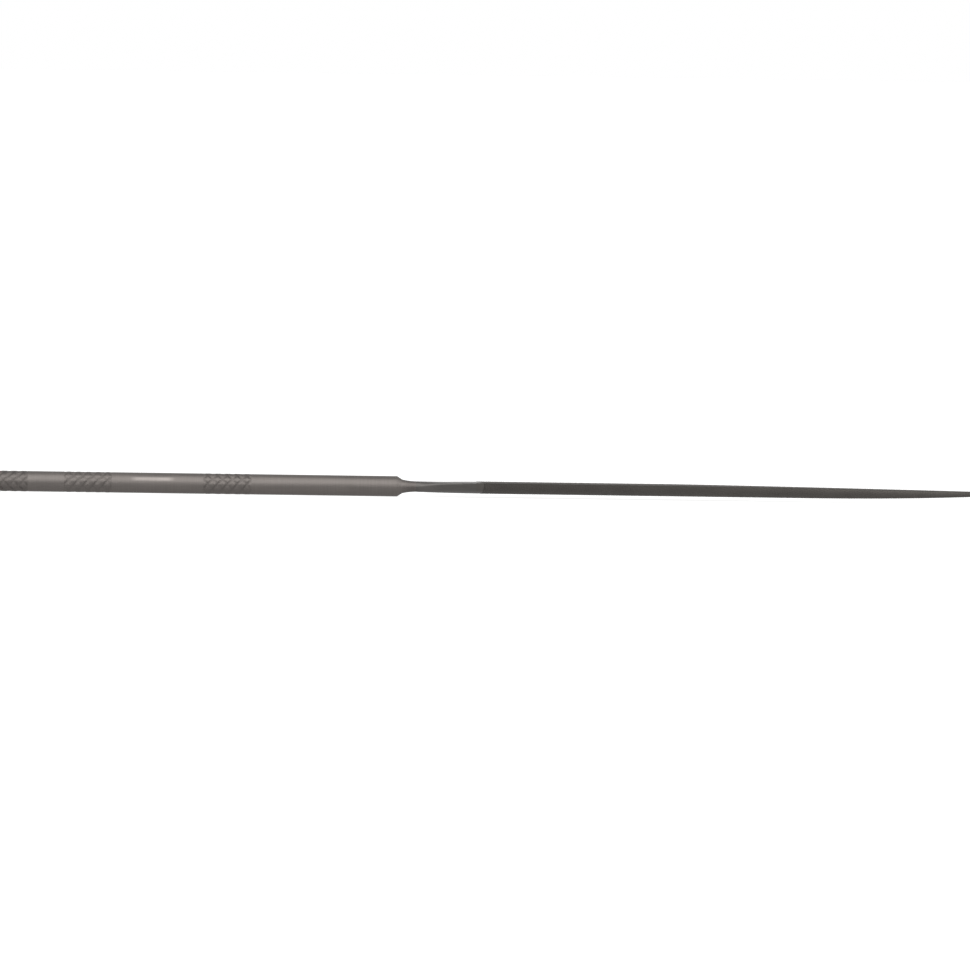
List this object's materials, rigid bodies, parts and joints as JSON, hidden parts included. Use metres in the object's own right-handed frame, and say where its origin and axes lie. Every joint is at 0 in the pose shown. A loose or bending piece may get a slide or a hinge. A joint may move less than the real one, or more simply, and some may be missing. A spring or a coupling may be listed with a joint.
{
  "type": "half round file",
  "caption": "Slim half round needle file with a round knurled handle, a turned neck, a flared heel and a tapered toothed blade.",
  "frame": {"origin": "under the middle of the file, on the plane that the handle's knurls lie on", "axes": "+X from the butt of the handle to the point, +Z the outward normal of the flat side, +Y across the blade"},
  "size_m": [0.2, 0.0062, 0.004],
  "materials": {
    "turned_steel": "satin turned steel, with rolled diamond knurls on the handle",
    "forged_steel": "dull forged and ground steel, without teeth",
    "cut_steel": "dark hardened steel with fine double cut teeth"
  },
  "bodies": {
    "root": {"handle": "turned_steel", "neck": "turned_steel", "heel": "forged_steel", "blade": "cut_steel"}
  },
  "joints": []
}
